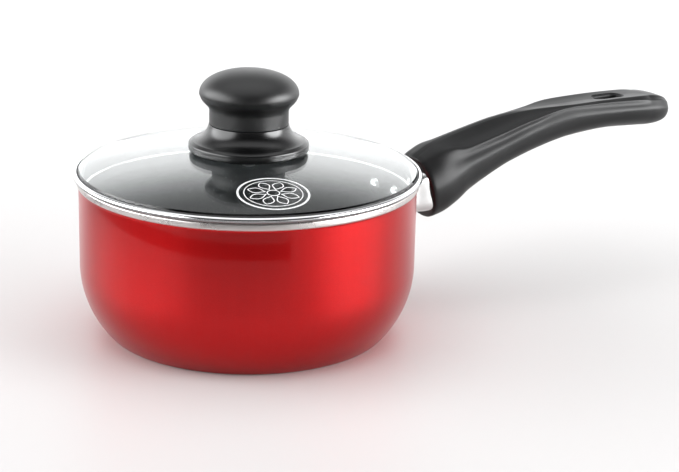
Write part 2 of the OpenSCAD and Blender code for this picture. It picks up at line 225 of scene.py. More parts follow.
class Material:
    """A node material: each call adds one node, sets its inputs and returns its first output."""

    def __init__(self, name, **principled):
        self.material = bpy.data.materials.new(name)
        self.material.use_nodes = True
        self.tree = self.material.node_tree
        self.shader = self.tree.nodes["Principled BSDF"]
        self.output = self.tree.nodes["Material Output"]
        self.place = self.node("ShaderNodeTexCoord", pick="Object")
        for socket, value in principled.items():
            self.set(self.shader, socket.replace("_", " "), value)

    def set(self, node, socket, value):
        target = node.inputs[socket]
        if isinstance(value, bpy.types.NodeSocket):
            self.tree.links.new(value, target)
        else:
            target.default_value = value

    def node(self, kind, inputs=None, pick=0, **settings):
        made = self.tree.nodes.new(kind)
        for key, value in settings.items():
            setattr(made, key, value)
        for socket, value in (inputs or {}).items():
            self.set(made, socket, value)
        return made.outputs[pick]

    def stretched(self, scale):
        return self.node("ShaderNodeMapping", {"Vector": self.place, "Scale": scale})

    def noise(self, scale, detail=3.0, roughness=0.55, vector=None, distortion=0.0):
        return self.node("ShaderNodeTexNoise", {
            "Vector": vector or self.place, "Scale": scale, "Detail": detail,
            "Roughness": roughness, "Distortion": distortion})

    def ramp(self, value, low, high, out_low, out_high):
        """A smooth step from out_low to out_high as value goes from low to high."""
        return self.node("ShaderNodeMapRange", {
            "Value": value, "From Min": low, "From Max": high, "To Min": out_low, "To Max": out_high},
            interpolation_type="SMOOTHSTEP")

    def mix(self, share, first, second):
        made = self.tree.nodes.new("ShaderNodeMix")
        made.data_type = "RGBA"
        self.set(made, 0, share)
        self.set(made, 6, first)
        self.set(made, 7, second)
        return made.outputs[2]

    def math(self, operation, a, b=0.0):
        return self.node("ShaderNodeMath", {0: a, 1: b}, operation=operation)

    def separate(self, vector=None):
        made = self.tree.nodes.new("ShaderNodeSeparateXYZ")
        self.set(made, "Vector", vector or self.place)
        return made.outputs

    def axis_distance(self):
        """Distance from the pan's axis, in metres."""
        x, y, _ = self.separate()
        return self.math("SQRT", self.math("ADD", self.math("MULTIPLY", x, x), self.math("MULTIPLY", y, y)))

    def bump(self, height, strength, distance, onto=None):
        inputs = {"Height": height, "Strength": strength, "Distance": distance}
        if onto:
            inputs["Normal"] = onto
        return self.node("ShaderNodeBump", inputs)

    def edge_wear(self, radius=0.0012):
        """About 1 on flat surfaces, and less on edges."""
        bevel = self.node("ShaderNodeBevel", {"Radius": radius}, samples=4)
        flat = self.node("ShaderNodeNewGeometry", pick="Normal")
        return self.node("ShaderNodeVectorMath", {0: bevel, 1: flat}, operation="DOT_PRODUCT", pick="Value")


def enamel_red():
    """Metallic red lacquer: a satin flake layer under a clear, slightly wavy coat."""
    m = Material("enamel_red", Metallic=1.0, Coat_Weight=0.32, Coat_Roughness=0.05, Coat_IOR=1.5)
    flake = m.noise(5200.0, 2.0, 0.6)
    cloud = m.noise(26.0, 3.0)
    streak = m.noise(1.0, 3.0, vector=m.stretched((420.0, 420.0, 9.0)))
    colour = m.mix(m.ramp(flake, 0.35, 0.68, 0.0, 1.0), (0.42, 0.0055, 0.0065, 1), (0.54, 0.011, 0.012, 1))
    colour = m.mix(m.ramp(cloud, 0.3, 0.7, 0.0, 0.22), colour, (0.38, 0.004, 0.005, 1))
    colour = m.mix(m.ramp(streak, 0.3, 0.7, 0.0, 0.07), colour, (0.60, 0.018, 0.019, 1))
    m.set(m.shader, "Base Color", colour)
    m.set(m.shader, "Roughness", m.ramp(cloud, 0.3, 0.7, 0.275, 0.295))
    m.set(m.shader, "Normal", m.bump(flake, 0.10, 0.00005))
    m.set(m.shader, "Coat Normal", m.bump(m.noise(120.0, 2.0), 0.05, 0.0002))
    return m.material


def turned_aluminium(colour):
    """Bare aluminium with fine lathe marks round the axis."""
    m = Material("turned_aluminium", Metallic=1.0)
    height = m.separate()[2]
    radius = m.axis_distance()
    along = m.math("ADD", m.math("MULTIPLY", radius, 5200.0), m.math("MULTIPLY", height, 5200.0))
    marks = m.node("ShaderNodeTexNoise", {"W": along, "Scale": 1.0, "Detail": 2.0}, noise_dimensions="1D")
    smear = m.noise(60.0, 4.0)
    dark = tuple(c * 0.84 for c in colour) + (1,)
    m.set(m.shader, "Base Color", m.mix(m.ramp(marks, 0.3, 0.7, 0.0, 1.0), dark, colour + (1,)))
    m.set(m.shader, "Roughness", m.ramp(smear, 0.3, 0.7, 0.24, 0.36))
    m.set(m.shader, "Normal", m.bump(marks, 0.22, 0.00006))
    return m.material


def nonstick():
    """Dark grey coating with fine light flecks."""
    m = Material("nonstick_coating", Specular_IOR_Level=0.5)
    fleck = m.noise(1500.0, 1.0)
    cloud = m.noise(18.0, 4.0)
    base = m.mix(m.ramp(cloud, 0.35, 0.65, 0.0, 1.0), (0.040, 0.041, 0.043, 1), (0.056, 0.057, 0.060, 1))
    m.set(m.shader, "Base Color", m.mix(m.ramp(fleck, 0.66, 0.74, 0.0, 0.55), base, (0.30, 0.30, 0.31, 1)))
    m.set(m.shader, "Roughness", m.ramp(cloud, 0.3, 0.7, 0.36, 0.46))
    m.set(m.shader, "Normal", m.bump(m.noise(900.0, 3.0), 0.16, 0.00012))
    return m.material


def clear_glass():
    """Tempered glass that lets lamps light what is under it."""
    m = Material("clear_glass", Base_Color=(0.955, 0.985, 0.978, 1), Transmission_Weight=1.0, IOR=1.5)
    smear = m.noise(34.0, 5.0, 0.6, distortion=0.8)
    m.set(m.shader, "Roughness", m.ramp(smear, 0.45, 0.75, 0.0, 0.035))
    m.set(m.shader, "Normal", m.bump(m.noise(22.0, 1.0), 0.04, 0.0006))
    clear = m.node("ShaderNodeBsdfTransparent", {"Color": (0.90, 0.94, 0.93, 1)})
    lamp = m.node("ShaderNodeLightPath", pick="Is Shadow Ray")
    both = m.node("ShaderNodeMixShader", {0: lamp, 1: m.shader.outputs[0], 2: clear})
    m.set(m.output, "Surface", both)
    return m.material


def polished_steel(name="polished_steel", colour=(0.86, 0.86, 0.87), rough=(0.07, 0.16), brushed=0.0,
                   painted_shade_below=None):
    """Stainless sheet, polished or brushed along its length. Given a height, its colour darkens below it
    outside the pan's wall: painted shade under the lid's bead.
    """
    m = Material(name, Metallic=1.0)
    smear = m.noise(90.0, 4.0)
    fine = m.noise(1.0, 3.0, vector=m.stretched((3500.0, 350.0, 3500.0)))
    shade = m.mix(m.ramp(smear, 0.35, 0.7, 0.0, 1.0), colour + (1,), tuple(c * 0.90 for c in colour) + (1,))
    # Below that height and outside the pan's wall the colour turns dark grey: painted shade under the bead.
    if painted_shade_below:
        outside = m.ramp(m.axis_distance(), WALL_R * MM, (WALL_R + 0.4) * MM, 0.0, 1.0)
        under = m.ramp(m.separate()[2], (painted_shade_below - 0.25) * MM, (painted_shade_below + 0.15) * MM, 0.85, 0.0)
        shade = m.mix(m.math("MULTIPLY", outside, under), shade, (0.16, 0.16, 0.165, 1))
    m.set(m.shader, "Base Color", shade)
    m.set(m.shader, "Roughness", m.ramp(m.math("ADD", smear, m.math("MULTIPLY", fine, 0.3)),
                                        0.4, 0.95, rough[0], rough[1]))
    m.set(m.shader, "Normal", m.bump(fine, 0.04 + brushed, 0.00004))
    return m.material


def phenolic(name, dark, light, rough, gloss):
    """Black phenolic moulding with a fine grain and lighter, smoother worn edges."""
    m = Material(name, Specular_IOR_Level=gloss)
    grain = m.noise(1900.0, 3.0, 0.6)
    cloud = m.noise(45.0, 4.0)
    speck = m.noise(2600.0, 1.0)
    worn = m.ramp(m.edge_wear(), 0.90, 0.995, 1.0, 0.0)
    colour = m.mix(m.ramp(cloud, 0.3, 0.7, 0.0, 1.0), dark, light)
    colour = m.mix(m.ramp(speck, 0.72, 0.80, 0.0, 0.4), colour, (0.030, 0.030, 0.031, 1))
    colour = m.mix(m.math("MULTIPLY", worn, 0.3), colour, (0.022, 0.022, 0.023, 1))
    m.set(m.shader, "Base Color", colour)
    even = m.ramp(cloud, 0.3, 0.75, rough[0], rough[1])
    m.set(m.shader, "Roughness", m.math("SUBTRACT", even, m.math("MULTIPLY", worn, 0.07)))
    fine = m.bump(grain, 0.16, 0.00010)
    m.set(m.shader, "Normal", m.bump(m.noise(70.0, 2.0), 0.06, 0.0006, onto=fine))
    return m.material


def plated_steel():
    """Zinc plate: cool grey with faint passivation tints."""
    m = Material("zinc_plate", Metallic=1.0)
    cloud = m.noise(240.0, 4.0)
    tint = m.noise(70.0, 2.0)
    colour = m.mix(m.ramp(cloud, 0.3, 0.7, 0.0, 1.0), (0.60, 0.61, 0.64, 1), (0.70, 0.70, 0.71, 1))
    m.set(m.shader, "Base Color", m.mix(m.ramp(tint, 0.45, 0.7, 0.0, 0.25), colour, (0.66, 0.62, 0.50, 1)))
    m.set(m.shader, "Roughness", m.ramp(cloud, 0.3, 0.7, 0.26, 0.40))
    m.set(m.shader, "Normal", m.bump(m.noise(2400.0, 2.0), 0.10, 0.00005))
    return m.material


def brass():
    """Turned brass with fine tool marks."""
    m = Material("turned_brass", Metallic=1.0)
    marks = m.noise(1.0, 2.0, vector=m.stretched((60.0, 60.0, 9000.0)))
    m.set(m.shader, "Base Color", m.mix(m.ramp(marks, 0.3, 0.7, 0.0, 1.0),
                                        (0.70, 0.50, 0.20, 1), (0.80, 0.62, 0.30, 1)))
    m.set(m.shader, "Roughness", m.ramp(marks, 0.3, 0.7, 0.20, 0.32))
    m.set(m.shader, "Normal", m.bump(marks, 0.15, 0.00005))
    return m.material


def silicone(name="silicone_seal", shade=1.0):
    """Matt dark silicone with a soft bloom."""
    m = Material(name, Sheen_Weight=0.15 * shade)
    cloud = m.noise(160.0, 4.0)
    dark, light = (tuple(shade * c for c in colour) + (1,)
                   for colour in ((0.060, 0.060, 0.062), (0.085, 0.085, 0.088)))
    m.set(m.shader, "Base Color", m.mix(m.ramp(cloud, 0.3, 0.7, 0.0, 1.0), dark, light))
    m.set(m.shader, "Roughness", m.ramp(cloud, 0.3, 0.7, 0.52, 0.66))
    m.set(m.shader, "Normal", m.bump(m.noise(1400.0, 2.0), 0.12, 0.0001))
    return m.material


def white_print():
    """Fired white ink, slightly uneven."""
    m = Material("white_print")
    cloud = m.noise(900.0, 3.0)
    m.set(m.shader, "Base Color", m.mix(m.ramp(cloud, 0.3, 0.7, 0.0, 1.0),
                                        (0.50, 0.51, 0.51, 1), (0.66, 0.67, 0.67, 1)))
    m.set(m.shader, "Roughness", m.ramp(cloud, 0.3, 0.7, 0.40, 0.55))
    m.set(m.shader, "Normal", m.bump(cloud, 0.15, 0.00004))
    return m.material


RED = enamel_red()
BARE = turned_aluminium((0.66, 0.62, 0.605))
COATING = nonstick()
GLASS = clear_glass()
# The band's steel takes painted shade below the middle of its bead.
STEEL = polished_steel(painted_shade_below=BAND_Z + BEAD_R)
GUARD_STEEL = polished_steel("guard_steel", (0.84, 0.84, 0.835), (0.16, 0.27), 0.05)
SHEET_STEEL = polished_steel("sheet_steel", (0.62, 0.62, 0.63), (0.28, 0.40), 0.10)
RIVET_METAL = polished_steel("rivet_metal", (0.82, 0.82, 0.83), (0.20, 0.32), 0.03)
PLATED = plated_steel()
BRASS = brass()
SEAL = silicone()
# A seal at the glass's edge, darkened to 0.3 of the silicone's colour: partly a real seal, partly painted
# shade between glass and band.
EDGE_SEAL_AND_SHADE = silicone("edge_seal_and_shade", 0.3)
KNOB_SHADES = (0.0010, 0.0010, 0.0011, 1), (0.0018, 0.0018, 0.0020, 1)
GRIP_SHADES = (0.0045, 0.0045, 0.0048, 1), (0.0070, 0.0070, 0.0074, 1)
SATIN_BLACK = phenolic("satin_black", *GRIP_SHADES, (0.36, 0.44), 0.26)
KNOB_BLACK = phenolic("knob_black", *KNOB_SHADES, (0.22, 0.28), 0.55)
CAP_BLACK = phenolic("cap_black", *KNOB_SHADES, (0.38, 0.45), 0.55)
PRINT = white_print()


def finish_piece(piece, body, slot, materials, *nodes):
    """Gives a new piece its materials and the body it rides on, and hides the CAD nodes it stands for. The
    slot is not used.
    """
    for material in materials:
        piece.data.materials.append(material)
    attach(piece, body)
    if nodes:
        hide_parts(*nodes)
    return piece


def repaint(node, material):
    """A CAD node keeps its shape and takes a better material."""
    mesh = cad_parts[node].data
    mesh.materials.clear()
    mesh.materials.append(material)


# ---------- pan ----------

def pan():
    """Spun aluminium pan: lacquered outside, bare rolled lip and base, coated inside."""
    bowl_z, bowl_r, turn = 34.0, 48.0, 43.5
    bowl_c = WALL_R - bowl_r
    edge_z = bowl_z - bowl_r * math.sin(math.radians(turn))
    foot_r = edge_z / (1 - math.sin(math.radians(turn)))
    foot_x = bowl_c + (bowl_r - foot_r) * math.cos(math.radians(turn))
    inner_r = WALL_R - WALL_T
    fillet = 12.0
    reach = bowl_r - WALL_T - fillet
    drop = bowl_z - FLOOR_T - fillet
    fillet_x = bowl_c + math.sqrt(reach ** 2 - drop ** 2)
    lean = math.degrees(math.asin(drop / reach))
    roll = 0.8
    roll_c = WALL_R + LIP_OUT - roll

    underside = [(0.0, 0.35), (6.0, 0.35), (6.6, 0.0)]
    groove, pitch = 0.28, 5.2
    r = 9.0
    while r < foot_x - 4:
        underside += [(r, 0.0), (r + 0.5, groove), (r + 1.3, groove), (r + 1.8, 0.0)]
        r += pitch
    outside = (arc((foot_x, foot_r), foot_r, -90, -turn, 12)
               + arc((bowl_c, bowl_z), bowl_r, -turn, 0, 40)[1:]
               + [(WALL_R, z) for z in np.linspace(bowl_z + 4, RIM_Z - LIP_H - 1.2, 9)])
    rolled = ([(WALL_R, RIM_Z - LIP_H - 0.15), (WALL_R + 0.12, RIM_Z - LIP_H)]
              + arc((roll_c, RIM_Z - LIP_H + roll), roll, -70, 0, 6)
              + arc((roll_c, RIM_Z - roll), roll, 0, 90, 8)
              + arc((inner_r + 0.45, RIM_Z - 0.45), 0.45, 90, 180, 6))
    inside = ([(inner_r, z) for z in np.linspace(RIM_Z - 3.0, bowl_z + 4, 9)]
              + arc((bowl_c, bowl_z), bowl_r - WALL_T, 0, -lean, 36)
              + arc((fillet_x, FLOOR_T + fillet), fillet, -lean, -90, 14)[1:]
              + [(r, FLOOR_T) for r in (38.0, 24.0, 12.0, 4.0)] + [(0.0, FLOOR_T)])
    first_red = len(underside)
    first_bare = first_red + len(outside)
    first_coat = first_bare + len(rolled)

    def paint(r, z, k):
        if k < first_red or first_bare <= k < first_coat:
            return 1
        return 0 if k < first_bare else 2

    piece = lathe("pan_shell", [underside + outside + rolled + inside], paint)
    return finish_piece(piece, "pan", "red_enamel", [RED, BARE, COATING], "pan_body")


# ---------- flame guard ----------

def flame_guard():
    """Bright sleeve with a slight waist between the pan's wall and the handle's end face."""
    wide = GUARD_HIGH.y - GUARD_LOW.y
    tall = GUARD_HIGH.z - GUARD_LOW.z
    corner = 6.0
    thick = 0.9
    waist_wide, waist_tall = 0.075, 0.45      # the waist's share of the width, and the height's part of that
    tilt = math.tan(math.radians(14))         # the handle's end face leans back
    end_x = 97.85
    wall = WALL_R + 0.12                      # a hair clear of the pan
    spacing = 2.2

    def section(inset, pinch, along):
        w, h = wide / 2 - inset, tall / 2 - inset
        r = corner - inset
        outline = rounded([(w, h, r), (-w, h, r), (-w, -h, r), (w, -h, r)], 10)
        dense = []
        for i, p in enumerate(outline):
            q = outline[(i + 1) % len(outline)]
            parts = max(1, int(math.dist(p, q) / spacing))
            dense += [(p[0] + (q[0] - p[0]) * k / parts, p[1] + (q[1] - p[1]) * k / parts)
                      for k in range(parts)]
        ring = []
        for y, z in dense:
            y *= 1 - pinch
            z *= 1 - waist_tall * pinch
            near = math.sqrt(wall ** 2 - y ** 2)
            far = end_x - z * tilt
            ring.append((near + (far - near) * along, y, FIXING_Z + z))
        return ring

    steps = 18
    along = [(k / steps, waist_wide * math.sin(math.pi * k / steps) ** 2) for k in range(steps + 1)]
    outer = [section(0.0, pinch, t) for t, pinch in along]
    lip = [section(thick * (1 - math.cos(a)) / 2, 0, 1) for a in np.radians((45, 90, 135))]
    inner = [section(thick, pinch, t) for t, pinch in reversed(along)]
    piece = loft("guard_sleeve", outer + lip + inner + [outer[0]], closed=False, sharp=30)
    weld(piece, 2e-5)
    return finish_piece(piece, "pan", "polished_steel", [GUARD_STEEL], "flame_guard")


def weld(piece, distance=0.0):
    """Joins points closer than a distance in metres, and turns the faces outwards."""
    work = bmesh.new()
    work.from_mesh(piece.data)
    if distance:
        bmesh.ops.remove_doubles(work, verts=work.verts, dist=distance)
    bmesh.ops.recalc_face_normals(work, faces=work.faces)
    work.to_mesh(piece.data)
    work.free()


# ---------- handle ----------

# Along the handle, for one side: the middle of the top (x, z), the ridge (y, z), the shoulder (y, z), the
# groove (y, z), the widest place (y, z), the underside (x, z) and how far the facet under the ridge sinks.
STATIONS = [
    (94.0, 73.8, 4.0, 73.4, 9.5, 71.0, 12.5, 67.5, 15.8, 57.5, 102.3, 41.0, -0.8),
    (103.8, 78.9, 3.6, 78.5, 9.8, 75.6, 12.6, 71.0, 15.8, 59.5, 110.5, 43.2, -0.7),
    (112.5, 81.6, 3.0, 81.2, 10.6, 77.6, 11.6, 73.0, 14.9, 64.0, 119.0, 47.3, 0.4),
    (121.0, 83.7, 2.6, 83.3, 11.2, 77.6, 11.0, 74.4, 13.8, 68.4, 128.0, 53.1, 1.2),
    (140.5, 87.9, 2.4, 87.5, 11.0, 81.9, 10.2, 79.0, 12.4, 74.2, 147.0, 62.0, 1.4),
    (155.0, 89.9, 2.6, 89.5, 10.8, 85.4, 9.9, 83.0, 11.9, 78.2, 160.0, 66.4, 1.2),
    (168.0, 90.7, 4.2, 90.9, 10.5, 88.0, 9.8, 86.2, 11.6, 81.2, 171.5, 69.5, 0.8),
    (180.0, 90.9, 7.4, 91.8, 10.0, 90.2, 9.9, 88.8, 11.7, 83.6, 182.0, 71.9, 0.4),
    (192.0, 91.0, 9.0, 92.1, 10.2, 91.0, 10.1, 89.8, 11.9, 85.0, 193.0, 73.7, 0.2),
    (214.0, 91.2, 9.4, 92.3, 10.8, 90.9, 10.7, 89.2, 12.4, 85.2, 214.0, 75.3, 0.2),
    (236.0, 91.3, 9.2, 91.9, 11.2, 90.0, 11.2, 88.2, 12.8, 84.6, 236.0, 74.4, 0.2),
    (244.0, 91.6, 7.6, 91.3, 10.4, 89.4, 11.1, 87.8, 12.6, 84.0, 243.0, 73.9, 0.2),
]


GRIP_ALONG, GRIP_AROUND = 140, 150      # rows of the grip, and points round half a row
GRIP_SMOOTHING = 45                     # passes that round a half section's creases
GRIP_SHARP = 50                         # edges sharper than so many degrees stay sharp


def half_section(s):
    """Points (y, z) from the middle of the top round one side to the middle of the underside."""
    _, top, y_ridge, z_ridge, y_sh, z_sh, y_gr, z_gr, wide, z_wide, _, low, sink = s
    ridge = np.array((y_ridge, z_ridge))
    shoulder = np.array((y_sh, z_sh))
    groove = np.array((y_gr, z_gr))
    fall = shoulder - ridge
    inward = np.array((fall[1], -fall[0])) / np.linalg.norm(fall)
    points = [(0.0, top), (0.5 * y_ridge, top + 0.30 * (z_ridge - top)),
              (0.82 * y_ridge, top + 0.80 * (z_ridge - top)), ridge]
    points += [ridge + fall * t + inward * sink * depth
               for t, depth in ((0.25, 0.7), (0.55, 1.0), (0.80, 0.62))]
    points += [shoulder, groove]
    points += [(y_gr + (wide - y_gr) * t, z_gr + (z_wide - z_gr) * u)
               for t, u in ((0.55, 0.35), (0.93, 0.72))]
    power = 2 / 2.2      # a little fuller than an ellipse
    for a in np.radians((0, 14, 28, 42, 56, 70, 82, 90)):
        points.append((wide * math.cos(a) ** power, z_wide - (z_wide - low) * math.sin(a) ** power))
    fine = through([tuple(p) for p in points], GRIP_AROUND)
    for _ in range(GRIP_SMOOTHING):
        fine[1:-1] = (fine[:-2] + 2 * fine[1:-1] + fine[2:]) / 4
    return fine


def handle_ring(s, wide=1.0, tall=1.0, along=0.0, drop=0.0):
    """A full ring of the handle at one station, scaled about its middle and moved along or down."""
    x0, top, x1, low = s[0], s[1], s[10], s[11]
    half = half_section(s)
    tilt = (x1 - x0) / (top - low)
    middle = (top + low) / 2
    norm = math.hypot(1, tilt)
    ring = []
    for sign, points in ((-1, half), (1, half[-2:0:-1])):
        for y, z in points:
            zz = middle + (z - middle) * tall
            ring.append((x0 + (top - zz) * tilt + along / norm, sign * y * wide,
                         zz + along * tilt / norm - drop))
    return ring


def handle():
    """Black grip: a rounded crest with a thumb facet each side, a side groove, and a hollow with a slot."""
    rows = through(STATIONS, GRIP_ALONG)
    rim, half_wide, eased_rows = 1.3, 15, 4      # the eased end takes the place of the first rows
    start = [handle_ring(rows[0], k, k) for k in (0.55, 0.86)]
    for a in np.radians((0, 22, 45, 67)):
        k = 1 - rim * (1 - math.sin(a)) / half_wide
        start.append(handle_ring(rows[0], k, k, rim * (1 - math.cos(a))))
    body = [handle_ring(s) for s in rows[eased_rows:]]
    tip_l, tip_drop = 17.8, 1.6
    tip = [handle_ring(rows[-1], math.cos(a) ** 0.75, math.cos(a) ** 0.62, tip_l * math.sin(a),
                       tip_drop * (1 - math.cos(a)))
           for a in np.radians(np.linspace(5, 88.5, 22))]
    piece = loft("grip", start + body + tip, sharp=GRIP_SHARP)
    cut_slot(piece)
    return finish_piece(piece, "pan", "black_phenolic", [SATIN_BLACK], "handle_grip")


def cut_slot(piece):
    """Cuts the hanging slot, with its mouth eased above and below."""
    slot_x, slot_l, slot_w, ease = 221.5, 18.0, 8.4, 1.1
    floor_z, under_z = 91.15, 75.1      # the handle's top and underside at the slot
    beyond, nudge = 6, 0.05             # how far the cutter sticks out, and its overlap at each mouth
    quarter = np.radians((0, 18, 36, 54, 72, 90))

    def oval(grow, z):
        w = slot_w / 2 + grow
        half = (slot_l - slot_w) / 2
        right = arc((half, 0), w, -90, 90, 16)
        left = arc((-half, 0), w, 90, 270, 16)
        return [(slot_x + x, y, z) for x, y in right + left]

    rings = [oval(ease, under_z - beyond)]
    rings += [oval(ease * (1 - math.sin(a)), under_z + ease * (1 - math.cos(a)) - nudge) for a in quarter]
    rings += [oval(ease * (1 - math.cos(a)), floor_z - ease + ease * math.sin(a) + nudge) for a in quarter]
    rings.append(oval(ease, floor_z + beyond))
    cutter = loft("slot_cutter", rings)
    weld(piece)
    weld(cutter)
    cut = piece.modifiers.new("slot", "BOOLEAN")
    cut.operation = "DIFFERENCE"
    cut.solver = "EXACT"
    cut.object = cutter
    apply_modifiers(piece)
    bpy.data.objects.remove(cutter)


def apply_modifiers(piece):
    """Replaces the mesh with its modified form."""
    graph = bpy.context.evaluated_depsgraph_get()
    mesh = bpy.data.meshes.new_from_object(piece.evaluated_get(graph))
    piece.modifiers.clear()
    piece.data = mesh
    mesh.polygons.foreach_set("use_smooth", [True] * len(mesh.polygons))
    mesh.set_sharp_from_angle(angle=math.radians(GRIP_SHARP))


# ---------- lid ----------

def dome_z(r, depth=0.0):
    """Height of the glass, so far below its outer face."""
    return DOME_Z + math.sqrt((DOME_R - depth) ** 2 - r ** 2)


def glass():
    """Domed pane with a hole in the middle and a bevelled edge, dark where it sits in the band: partly a
    seal, partly painted shade in the gap between glass and band.
    """
    hole, ease, land, bevel = 5.0, 0.5, 0.5, 1.3
    middle = BAND_Z + BEAD_R
    under = [(r, dome_z(r, GLASS_T)) for r in np.linspace(hole + ease, SEAT_R, 40)]
    top = [(r, dome_z(r)) for r in np.linspace(GLASS_R - bevel, hole + ease, 40)]
    shade_z = BAND_HIGH.z + 0.35      # the top of the dark edge
    slope = bevel / (dome_z(GLASS_R - bevel) - middle - land)
    edge = [(GLASS_R, middle - land), (GLASS_R, middle + land),
            (GLASS_R - (shade_z - middle - land) * slope, shade_z)]
    outline = under + edge + top + [(hole, dome_z(hole) - ease), (hole, dome_z(hole, GLASS_T) + ease)]
    # These edge faces take the dark seal colour, which also stands as painted shade where the glass sits in
    # the band.
    sealed_and_shaded = range(len(under) - 1, len(under) + 2)
    piece = lathe("glass_dome", [outline], lambda r, z, k: int(k in sealed_and_shaded))
    return finish_piece(piece, "lid", "clear_glass", [GLASS, EDGE_SEAL_AND_SHADE], "lid_glass")


def rim_band():
    """Folded stainless band: a rolled bead that holds the glass, and a skirt with a hemmed edge."""
    t = 0.6
    skirt = WALL_R - WALL_T - 0.3 - t / 2
    low = BAND_LOW.z + t / 2
    line = ([(BEAD_X - 0.15, BAND_HIGH.z - t / 2)]
            + arc((BEAD_X, BAND_Z + BEAD_R), BEAD_R - t / 2, 90, -90, 16)
            + [(skirt + 1.2, BAND_Z + t / 2)]
            + arc((skirt + 0.6, BAND_Z + t / 2 - 0.6), 0.6, 90, 180, 5)
            + [(skirt, low + 1.2)]
            + arc((skirt - 0.5, low + 0.5), 0.5, 0, -90, 5)
            + [(skirt - 0.75, low)])
    piece = lathe("rim_band", [sheet_outline(line, t)[::-1]], turns=288)
    weld(piece, 1e-7)
    return finish_piece(piece, "lid", "polished_steel", [STEEL], "lid_rim_band")


def knob():
    """Lower and upper mouldings of the knob, as two pieces with a joint line between them."""
    screw_hole = 2.8
    flange_r, flange_z, joint_z = BASE_HIGH.y, BASE_LOW.z, BASE_HIGH.z
    flange_top = flange_z + 5
    boss_r, boss_z = 9.0, GLASS_TOP + 0.9
    flare_r = 9.5
    flare_c = (flange_r - 0.2, joint_z + 1.5)
    spigot_r, spigot_l = 14.0, 5.0
    flare = arc(flare_c, flare_r, -100, -180 + math.degrees(math.asin(1.5 / flare_r)), 24)
    lower = rounded([
        (screw_hole, boss_z, 0), (boss_r, boss_z, 0.4), (boss_r, flange_z + 3, 0.4),
        (flange_r - 3.4, flange_z + 3, 0.4), (flange_r - 3.4, flange_z, 0.5), (flange_r, flange_z, 1.3),
        (flange_r, flange_top - 0.9, 1.4),
        (flare[0][0], flare[0][1], 0.5)] + [(x, y, 0) for x, y in flare[1:-1]] + [
        (flare[-1][0], joint_z, 0.35), (spigot_r + 0.1, joint_z, 0), (spigot_r + 0.1, joint_z - spigot_l, 0),
        (screw_hole, joint_z - spigot_l, 0)])
    skirt = lathe("knob_skirt", [lower])
    finish_piece(skirt, "lid", "black_phenolic", [KNOB_BLACK], "knob_base")

    cap_r, cap_top = CAP_HIGH.y, CAP_HIGH.z
    neck_r, edge_z = 18.8, joint_z + 14.3
    insert_r, insert_top, gap = 4.0, joint_z + 8.5, 0.05
    under = through([(neck_r, joint_z + 5.6), (neck_r + 0.1, joint_z + 7.0), (neck_r + 0.8, joint_z + 8.5),
                     (neck_r + 2.3, joint_z + 10.1), (neck_r + 3.8, joint_z + 11.9), (cap_r, edge_z)], 30)
    power = 2 / 2.12      # a little fuller than an ellipse
    crown = [(cap_r * math.cos(a) ** power, edge_z + (cap_top - edge_z) * math.sin(a) ** power)
             for a in np.radians(np.linspace(3, 90, 34))]
    upper = ([(0.0, insert_top), (insert_r, insert_top), (insert_r, joint_z - spigot_l + gap),
              (spigot_r, joint_z - spigot_l + gap), (spigot_r, joint_z + gap)]
             + rounded([(spigot_r, joint_z + gap, 0), (neck_r, joint_z + gap, 0.4), (neck_r, joint_z + 4, 0),
                        (spigot_r, joint_z + 4, 0)])[1:-1]
             + [tuple(p) for p in under] + crown)
    upper[-1] = (0.0, cap_top)
    head = lathe("knob_head", [upper])
    return finish_piece(head, "lid", "black_phenolic", [CAP_BLACK], "knob_cap")


# ---------- printed mark ----------

def print_on_glass():
    """Plain rings with a rosette of petals, printed on the dome: thin strips that follow the glass."""
    centre, size = Vector((-19.8, -56.6)), 16.5
    lift, thin = 0.015, 0.05
    points, faces = [], []

    def strip(line, width, closed=False):
        n = len(line)
        first = len(points)
        for i, p in enumerate(line):
            a = line[(i - 1) % n] if closed or i else line[i]
            b = line[(i + 1) % n] if closed or i < n - 1 else line[i]
            run = Vector(b) - Vector(a)
            side = Vector((-run.y, run.x)).normalized() * width / 2
            for offset in (side, -side):
                q = centre + Vector(p) + offset
                for h in (lift, lift + thin):
                    points.append((q.x, q.y, dome_z(q.length) + h))
        for i in range(n if closed else n - 1):
            a, b = first + 4 * i, first + 4 * ((i + 1) % n)
            for u, v in ((0, 1), (1, 3), (3, 2), (2, 0)):
                faces.append([a + u, a + v, b + v, b + u])
        if not closed:
            for a, order in ((first, (0, 2, 3, 1)), (first + 4 * (n - 1), (0, 1, 3, 2))):
                faces.append([a + k for k in order])

    def ring(radius, width, count=96):
        strip([(radius * math.cos(a), radius * math.sin(a))
               for a in np.linspace(0, 2 * math.pi, count, endpoint=False)], width, True)

    ring(size - 0.5, 1.0)
    ring(size * 0.80, 0.45)
    ring(size * 0.17, 0.55, 40)
    petals = 8
    for k in range(petals):
        turn = 2 * math.pi * k / petals
        for bend in (-1, 1):
            line = []
            for t in np.linspace(0, 1, 18):
                r = size * (0.22 + 0.50 * t)
                a = turn + bend * 0.30 * math.sin(math.pi * t)
                line.append((r * math.cos(a), r * math.sin(a)))
            strip(line, 0.5)
    piece = mesh_object("glass_print", points, faces, sharp=30)
    weld(piece, 1e-7)
    return finish_piece(piece, "lid", "clear_glass", [PRINT])


# ---------- studio ----------

VIEW_AZIMUTH = -30.0     # the camera's place round the pan; 0 looks along +Y
VIEW_ELEVATION = 17.28
VIEW_DISTANCE = 900.0
VIEW_CENTRE_Z = 46.4
VIEW_PAN = 2.94          # turned towards the handle from the pan's axis
VIEW_ROLL = 1.4
FOCAL, SENSOR = 98.99, 36

